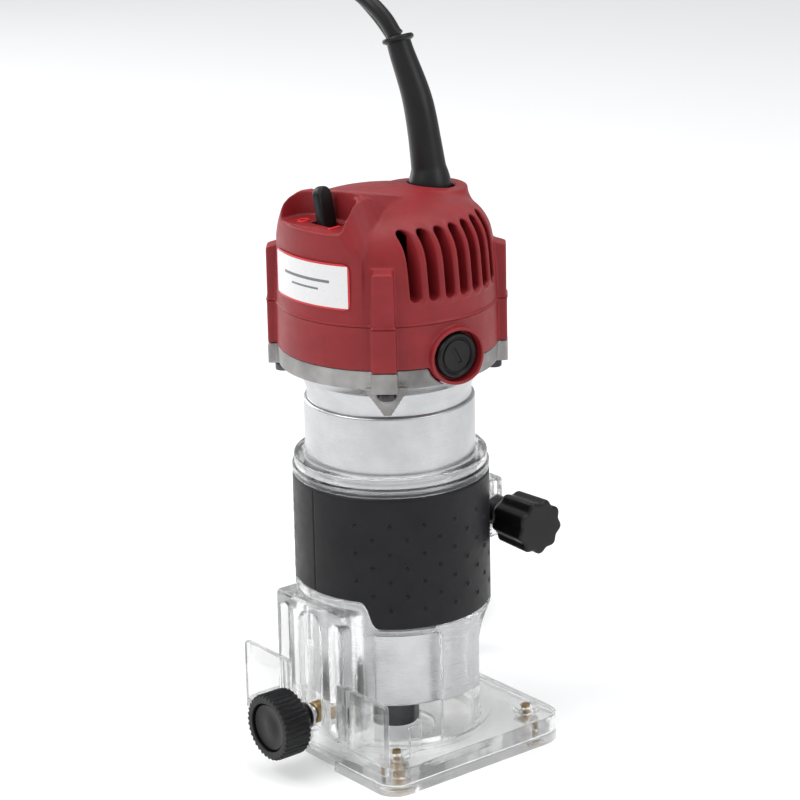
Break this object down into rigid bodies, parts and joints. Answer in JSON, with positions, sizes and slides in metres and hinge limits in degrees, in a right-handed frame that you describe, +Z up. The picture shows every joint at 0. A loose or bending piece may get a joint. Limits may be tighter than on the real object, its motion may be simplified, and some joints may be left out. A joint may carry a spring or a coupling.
{
  "type": "trim router",
  "caption": "Compact electric trim router with a red motor cover, a machined motor tube and a clear base with a rubber grip, a clamp knob and a guide knob.",
  "frame": {"origin": "bottom centre of the machine without its cord, on the sole", "axes": "+Z up along the spindle, -Y towards the front with the switch, the label and the guide knob, +X towards the clamp knob"},
  "size_m": [0.1952, 0.1852, 0.2944],
  "materials": {
    "clear_plastic": "clear moulded acrylic, polished",
    "brass": "turned, bright",
    "rubber_grip": "matt moulded rubber with dimples",
    "black_plastic": "satin moulded plastic",
    "steel": "plated",
    "dark_steel": "blackened",
    "machined_aluminium": "fine turned, bright; the flange as cast",
    "red_plastic": "fine textured moulded plastic",
    "label": "glossy domed label",
    "carbon": "pressed carbon",
    "core_steel": "stacked laminations",
    "copper_winding": "enamelled copper wire",
    "cord_rubber": "smooth rubber sheath"
  },
  "bodies": {
    "base": {"base_frame": "clear_plastic", "sub_base": "clear_plastic", "sub_base_screw_1": "brass", "sub_base_screw_2": "brass", "sub_base_screw_3": "brass", "sub_base_screw_4": "brass", "grip_sleeve": "rubber_grip", "clamp_nut": "steel", "guide_insert": "brass", "cord_hank": "cord_rubber", "hank_tie": "black_plastic", "cord_tail": "cord_rubber", "plug_body": "black_plastic", "plug_pin_1": "brass", "plug_pin_2": "brass"},
    "clamp_washer": {"clamp_washer": "steel"},
    "clamp_knob": {"clamp_knob": "black_plastic", "clamp_screw": "steel"},
    "guide_washer": {"guide_washer": "steel"},
    "guide_knob": {"guide_knob": "black_plastic", "guide_knob_cap": "black_plastic", "guide_screw": "steel"},
    "motor_unit": {"motor_housing": "machined_aluminium", "brush_housing": "red_plastic", "top_cover": "red_plastic", "cover_screw_1": "dark_steel", "cover_screw_2": "dark_steel", "cover_screw_3": "dark_steel", "cover_screw_4": "dark_steel", "label_plate": "label", "brush_cap_right": "black_plastic", "brush_cap_left": "black_plastic", "brush_holder_right": "brass", "brush_holder_left": "brass", "carbon_brush_right": "carbon", "carbon_brush_left": "carbon", "brush_spring_right": "steel", "brush_spring_left": "steel", "stator_core": "core_steel", "field_coil_rear": "copper_winding", "field_coil_front": "copper_winding", "fan_baffle": "black_plastic", "lower_bearing": "steel", "upper_bearing": "steel", "switch_body": "black_plastic", "cord_boot": "cord_rubber", "cord_clamp": "black_plastic", "cord_clamp_screw_1": "steel", "cord_clamp_screw_2": "steel", "cord_inner": "cord_rubber", "cord": "cord_rubber"},
    "armature": {"motor_shaft": "steel", "armature_core": "core_steel", "armature_winding_lower": "copper_winding", "armature_winding_upper": "copper_winding", "commutator": "copper_winding", "cooling_fan": "black_plastic", "collet": "steel", "collet_nut": "dark_steel"},
    "switch_lever": {"switch_lever": "black_plastic"}
  },
  "joints": [
    {"name": "clamp_travel", "type": "slide", "parent": "base", "child": "clamp_washer", "axis": [-1, 0, 0], "range_m": [-0.002, 0.00025]},
    {"name": "clamp_turn", "type": "hinge", "parent": "clamp_washer", "child": "clamp_knob", "pos_m": [0.01, 0.0477, 0.0855], "axis": [-1, 0, 0], "range_deg": [-722, 92]},
    {"name": "guide_travel", "type": "slide", "parent": "base", "child": "guide_washer", "axis": [0, 1, 0], "range_m": [-0.004, 0.001]},
    {"name": "guide_turn", "type": "hinge", "parent": "guide_washer", "child": "guide_knob", "pos_m": [0, -0.0399, 0.0207], "axis": [0, 1, 0], "range_deg": [-1804, 454]},
    {"name": "depth_slide", "type": "slide", "parent": "base", "child": "motor_unit", "axis": [0, 0, 1], "range_m": [-0.006, 0.024]},
    {"name": "spindle", "type": "hinge", "parent": "motor_unit", "child": "armature", "pos_m": [0, 0.0041, 0.02], "axis": [0, 0, 1], "continuous": true},
    {"name": "switch_tilt", "type": "hinge", "parent": "motor_unit", "child": "switch_lever", "pos_m": [0.00292, -0.02676, 0.2075], "axis": [-0.0941, 0.9956, 0], "range_deg": [0, 24]}
  ],
  "couplings": [
    {"joint": "clamp_turn", "follows": "clamp_travel", "rad_per_m": 6283.2},
    {"joint": "guide_turn", "follows": "guide_travel", "rad_per_m": 7854}
  ]
}
